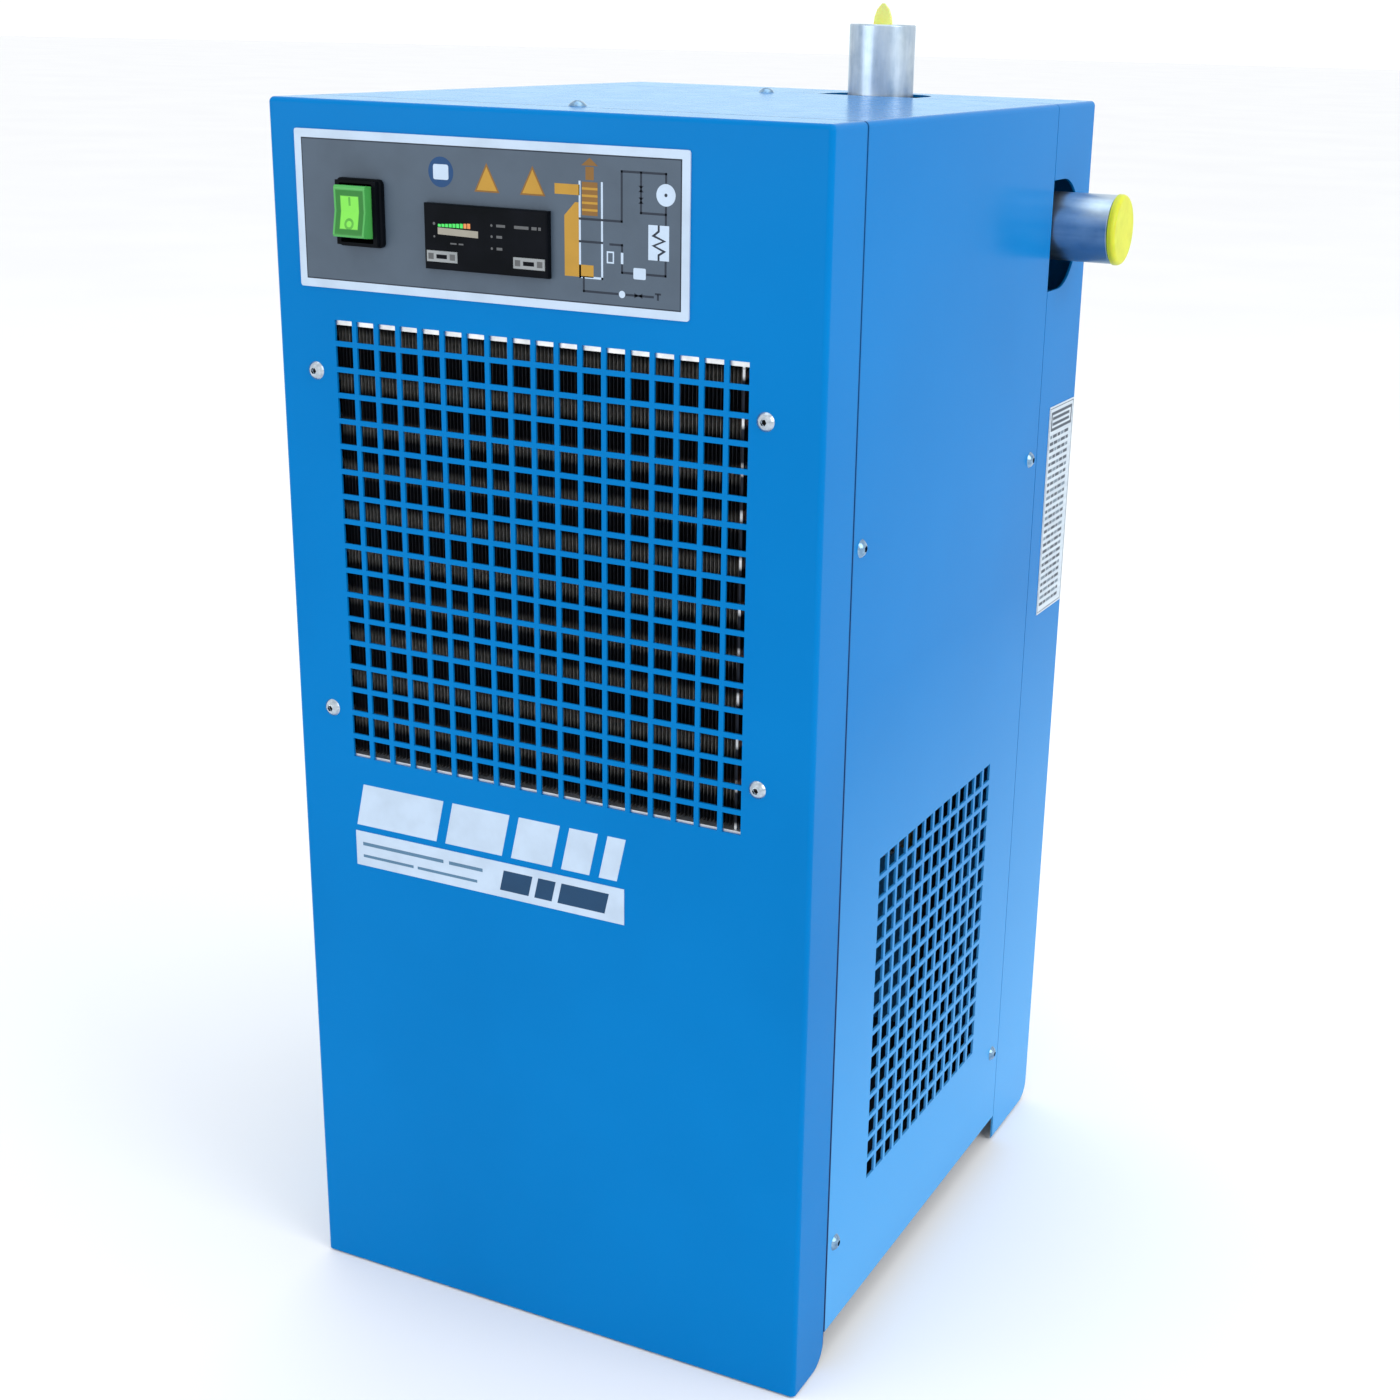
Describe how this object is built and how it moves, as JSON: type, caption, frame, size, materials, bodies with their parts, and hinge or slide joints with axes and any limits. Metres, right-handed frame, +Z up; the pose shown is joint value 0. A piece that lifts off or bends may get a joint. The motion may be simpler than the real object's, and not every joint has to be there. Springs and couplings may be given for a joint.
{
  "type": "refrigerated air dryer",
  "caption": "Floor-standing refrigerated compressed-air dryer: blue sheet-steel cabinet with a grilled condenser, control panel, threaded air ports and a drain.",
  "frame": {"origin": "on the floor, at the middle of the four anchor holes, under the middle of the cabinet", "axes": "+X out of the side air inlet, +Y towards the back, +Z up out of the air outlet"},
  "size_m": [0.3888, 0.4508, 0.7974],
  "materials": {
    "blue_paint": "gloss powder coat",
    "base_paint": "satin black",
    "zinc_screw": "bright zinc",
    "printed_plate": "printed, satin",
    "black_plastic": "fine texture",
    "green_lens": "lit, glossy",
    "button_grey": "satin",
    "label_white": "printed film",
    "label_silver": "printed foil",
    "coupling_zinc": "zinc plated",
    "plug_yellow": "translucent polyethylene",
    "galvanised": "galvanised",
    "fin_aluminium": "mill",
    "copper": "drawn copper",
    "fan_black": "satin",
    "shell_black": "gloss enamel",
    "iron": "machined",
    "rubber": "matt",
    "cover_black": "moulded",
    "core_aluminium": "brazed",
    "foam": "closed-cell foam",
    "brass": "machined",
    "lever_red": "dipped vinyl",
    "nylon": "nylon",
    "drain_pipe": "plated",
    "can": "drawn"
  },
  "bodies": {
    "cabinet": {"front_panel": "blue_paint", "back_panel": "blue_paint", "side_and_top_hood": "blue_paint", "base_plate": "base_paint", "exchanger_stand": "base_paint", "compressor_feet": "base_paint", "front_panel_screws": "zinc_screw", "hood_screws": "zinc_screw", "back_panel_screws": "zinc_screw", "compressor_bolts": "zinc_screw", "control_panel_plate": "printed_plate", "switch_bezel": "black_plastic", "controller_housing": "black_plastic", "terminal_block": "black_plastic", "cable_gland": "black_plastic", "front_label": "label_white", "rating_label": "label_silver", "air_inlet_coupling": "coupling_zinc", "air_outlet_coupling": "coupling_zinc", "condenser_frame": "galvanised", "fan_shroud": "galvanised", "fan_bracket": "galvanised", "electrical_box": "galvanised", "condenser_fins": "fin_aluminium", "condenser_tubes": "copper", "discharge_line": "copper", "liquid_line": "copper", "suction_line": "copper", "bypass_line": "copper", "capillary_coil": "copper", "filter_dryer": "copper", "fan_motor": "fan_black", "compressor_lower_shell": "shell_black", "compressor_upper_shell": "shell_black", "compressor_stator": "iron", "compressor_crankcase": "iron", "rubber_grommets": "rubber", "compressor_terminal_cover": "cover_black", "drain_solenoid_coil": "cover_black", "exchanger_core": "core_aluminium", "insulation_front": "foam", "insulation_rear": "foam", "hot_gas_valve": "brass", "pressure_switch": "brass", "drain_valve_body": "brass", "drain_strainer": "brass", "drain_solenoid_body": "brass", "drain_bulkhead": "brass", "drain_tube": "nylon", "drain_elbow": "drain_pipe", "run_capacitor": "can"},
    "rocker": {"switch_rocker": "green_lens"},
    "left_button": {"controller_button_left": "button_grey"},
    "right_button": {"controller_button_right": "button_grey"},
    "fan": {"fan_blades": "fan_black"},
    "rotor": {"compressor_rotor": "iron"},
    "drain_lever": {"drain_valve_lever": "lever_red"},
    "side_plug": {"inlet_plug": "plug_yellow"},
    "top_plug": {"outlet_plug": "plug_yellow"}
  },
  "joints": [
    {"name": "rocker_tilt", "type": "hinge", "parent": "cabinet", "child": "rocker", "pos_m": [-0.1099, -0.208, 0.681], "axis": [1, 0, 0], "range_deg": [0, 10]},
    {"name": "left_button_press", "type": "slide", "parent": "cabinet", "child": "left_button", "axis": [0, 1, 0], "range_m": [0, 0.0008], "stiffness_N_per_m": 500, "springref_m": -0.0004},
    {"name": "right_button_press", "type": "slide", "parent": "cabinet", "child": "right_button", "axis": [0, 1, 0], "range_m": [0, 0.0008], "stiffness_N_per_m": 500, "springref_m": -0.0004},
    {"name": "fan_spin", "type": "hinge", "parent": "cabinet", "child": "fan", "pos_m": [-0.008, -0.13, 0.488], "axis": [0, 1, 0], "continuous": true},
    {"name": "rotor_spin", "type": "hinge", "parent": "cabinet", "child": "rotor", "pos_m": [-0.025, -0.02, 0.1], "axis": [0, 0, 1], "continuous": true},
    {"name": "drain_lever_turn", "type": "hinge", "parent": "cabinet", "child": "drain_lever", "pos_m": [-0.041, 0.1575, 0.28], "axis": [0, 0, -1], "range_deg": [0, 90]},
    {"name": "side_plug_pull", "type": "slide", "parent": "cabinet", "child": "side_plug", "axis": [1, 0, 0], "range_m": [0, 0.05]},
    {"name": "top_plug_pull", "type": "slide", "parent": "cabinet", "child": "top_plug", "axis": [0, 0, 1], "range_m": [0, 0.05]}
  ]
}
